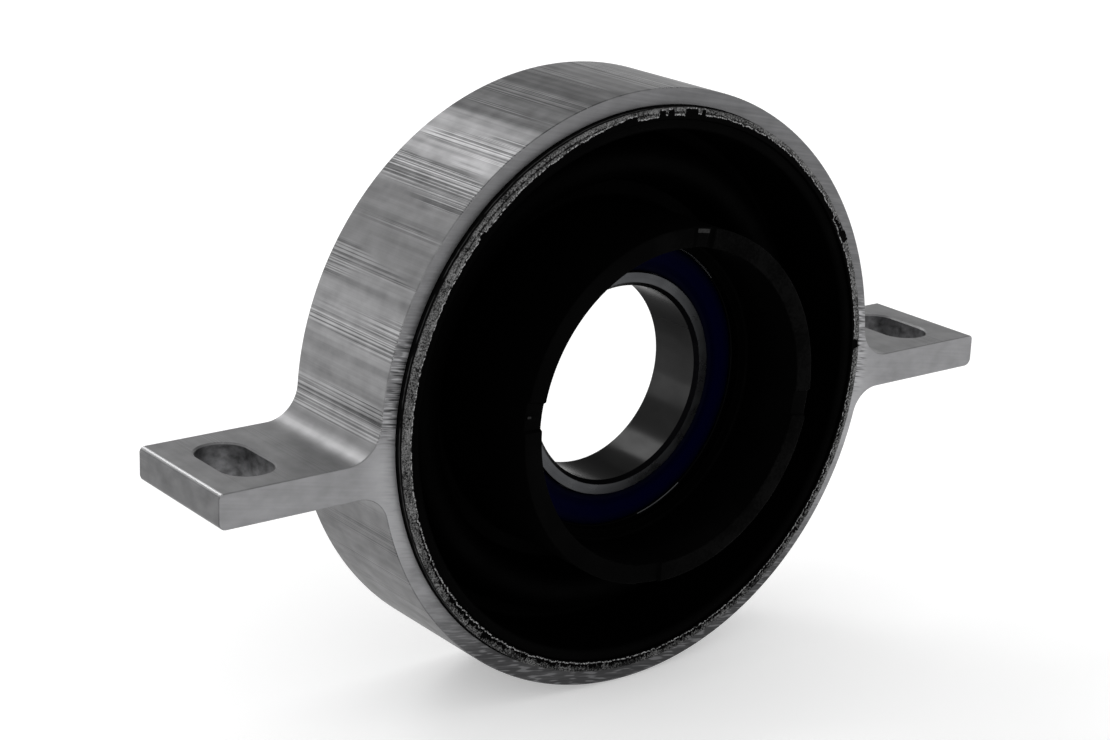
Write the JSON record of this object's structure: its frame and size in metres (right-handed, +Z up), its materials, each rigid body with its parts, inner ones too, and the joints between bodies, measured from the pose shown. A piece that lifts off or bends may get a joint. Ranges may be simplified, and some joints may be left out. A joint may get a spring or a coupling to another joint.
{
  "type": "driveshaft centre bearing",
  "caption": "Driveshaft centre bearing: a sealed ball bearing in a black rubber cushion, pressed into an extruded aluminium ring with slotted ears.",
  "frame": {"origin": "on the bearing's axis, halfway along the housing", "axes": "+Y along the bearing's axis towards the back, so the rubber collar is at -Y; the ears lie along X; +Z up, square to the ears"},
  "size_m": [0.164, 0.0345, 0.106],
  "materials": {
    "extruded_aluminium": "mill finish with drawn streaks",
    "sleeve_steel": "rough cut edge",
    "black_rubber": "matt moulded",
    "carrier_steel": "pressed",
    "race_steel": "ground",
    "blue_seal_rubber": "smooth",
    "cage_steel": "pressed",
    "ball_steel": "polished"
  },
  "bodies": {
    "bracket": {"housing": "extruded_aluminium", "outer_sleeve": "sleeve_steel", "rubber_cushion": "black_rubber", "bearing_carrier": "carrier_steel", "outer_race": "race_steel", "seal_front": "blue_seal_rubber", "seal_rear": "blue_seal_rubber"},
    "inner_ring": {"inner_race": "race_steel"},
    "cage": {"cage_front": "cage_steel", "cage_rear": "cage_steel", "cage_rivet_01": "cage_steel", "cage_rivet_02": "cage_steel", "cage_rivet_03": "cage_steel", "cage_rivet_04": "cage_steel", "cage_rivet_05": "cage_steel", "cage_rivet_06": "cage_steel", "cage_rivet_07": "cage_steel", "cage_rivet_08": "cage_steel", "cage_rivet_09": "cage_steel", "cage_rivet_10": "cage_steel", "cage_rivet_11": "cage_steel", "cage_rivet_12": "cage_steel", "cage_rivet_13": "cage_steel", "cage_rivet_14": "cage_steel"},
    "rolling_ball_01": {"ball_01": "ball_steel"},
    "rolling_ball_02": {"ball_02": "ball_steel"},
    "rolling_ball_03": {"ball_03": "ball_steel"},
    "rolling_ball_04": {"ball_04": "ball_steel"},
    "rolling_ball_05": {"ball_05": "ball_steel"},
    "rolling_ball_06": {"ball_06": "ball_steel"},
    "rolling_ball_07": {"ball_07": "ball_steel"},
    "rolling_ball_08": {"ball_08": "ball_steel"},
    "rolling_ball_09": {"ball_09": "ball_steel"},
    "rolling_ball_10": {"ball_10": "ball_steel"},
    "rolling_ball_11": {"ball_11": "ball_steel"},
    "rolling_ball_12": {"ball_12": "ball_steel"},
    "rolling_ball_13": {"ball_13": "ball_steel"},
    "rolling_ball_14": {"ball_14": "ball_steel"}
  },
  "joints": [
    {"name": "inner_ring_turn", "type": "hinge", "parent": "bracket", "child": "inner_ring", "pos_m": [0, -0.0006, 0], "axis": [0, 1, 0], "continuous": true},
    {"name": "cage_orbit", "type": "hinge", "parent": "bracket", "child": "cage", "pos_m": [0, -0.0006, 0], "axis": [0, 1, 0], "continuous": true},
    {"name": "ball_01_roll", "type": "hinge", "parent": "cage", "child": "rolling_ball_01", "pos_m": [0, -0.0006, 0.0225], "axis": [0, 1, 0], "continuous": true},
    {"name": "ball_02_roll", "type": "hinge", "parent": "cage", "child": "rolling_ball_02", "pos_m": [0.00976, -0.0006, 0.02027], "axis": [0, 1, 0], "continuous": true},
    {"name": "ball_03_roll", "type": "hinge", "parent": "cage", "child": "rolling_ball_03", "pos_m": [0.01759, -0.0006, 0.01403], "axis": [0, 1, 0], "continuous": true},
    {"name": "ball_04_roll", "type": "hinge", "parent": "cage", "child": "rolling_ball_04", "pos_m": [0.02194, -0.0006, 0.00501], "axis": [0, 1, 0], "continuous": true},
    {"name": "ball_05_roll", "type": "hinge", "parent": "cage", "child": "rolling_ball_05", "pos_m": [0.02194, -0.0006, -0.00501], "axis": [0, 1, 0], "continuous": true},
    {"name": "ball_06_roll", "type": "hinge", "parent": "cage", "child": "rolling_ball_06", "pos_m": [0.01759, -0.0006, -0.01403], "axis": [0, 1, 0], "continuous": true},
    {"name": "ball_07_roll", "type": "hinge", "parent": "cage", "child": "rolling_ball_07", "pos_m": [0.00976, -0.0006, -0.02027], "axis": [0, 1, 0], "continuous": true},
    {"name": "ball_08_roll", "type": "hinge", "parent": "cage", "child": "rolling_ball_08", "pos_m": [0, -0.0006, -0.0225], "axis": [0, 1, 0], "continuous": true},
    {"name": "ball_09_roll", "type": "hinge", "parent": "cage", "child": "rolling_ball_09", "pos_m": [-0.00976, -0.0006, -0.02027], "axis": [0, 1, 0], "continuous": true},
    {"name": "ball_10_roll", "type": "hinge", "parent": "cage", "child": "rolling_ball_10", "pos_m": [-0.01759, -0.0006, -0.01403], "axis": [0, 1, 0], "continuous": true},
    {"name": "ball_11_roll", "type": "hinge", "parent": "cage", "child": "rolling_ball_11", "pos_m": [-0.02194, -0.0006, -0.00501], "axis": [0, 1, 0], "continuous": true},
    {"name": "ball_12_roll", "type": "hinge", "parent": "cage", "child": "rolling_ball_12", "pos_m": [-0.02194, -0.0006, 0.00501], "axis": [0, 1, 0], "continuous": true},
    {"name": "ball_13_roll", "type": "hinge", "parent": "cage", "child": "rolling_ball_13", "pos_m": [-0.01759, -0.0006, 0.01403], "axis": [0, 1, 0], "continuous": true},
    {"name": "ball_14_roll", "type": "hinge", "parent": "cage", "child": "rolling_ball_14", "pos_m": [-0.00976, -0.0006, 0.02027], "axis": [0, 1, 0], "continuous": true}
  ],
  "couplings": [
    {"joint": "cage_orbit", "follows": "inner_ring_turn", "ratio": 0.43333},
    {"joint": "ball_01_roll", "follows": "inner_ring_turn", "ratio": -3.6833},
    {"joint": "ball_02_roll", "follows": "inner_ring_turn", "ratio": -3.6833},
    {"joint": "ball_03_roll", "follows": "inner_ring_turn", "ratio": -3.6833},
    {"joint": "ball_04_roll", "follows": "inner_ring_turn", "ratio": -3.6833},
    {"joint": "ball_05_roll", "follows": "inner_ring_turn", "ratio": -3.6833},
    {"joint": "ball_06_roll", "follows": "inner_ring_turn", "ratio": -3.6833},
    {"joint": "ball_07_roll", "follows": "inner_ring_turn", "ratio": -3.6833},
    {"joint": "ball_08_roll", "follows": "inner_ring_turn", "ratio": -3.6833},
    {"joint": "ball_09_roll", "follows": "inner_ring_turn", "ratio": -3.6833},
    {"joint": "ball_10_roll", "follows": "inner_ring_turn", "ratio": -3.6833},
    {"joint": "ball_11_roll", "follows": "inner_ring_turn", "ratio": -3.6833},
    {"joint": "ball_12_roll", "follows": "inner_ring_turn", "ratio": -3.6833},
    {"joint": "ball_13_roll", "follows": "inner_ring_turn", "ratio": -3.6833},
    {"joint": "ball_14_roll", "follows": "inner_ring_turn", "ratio": -3.6833}
  ]
}
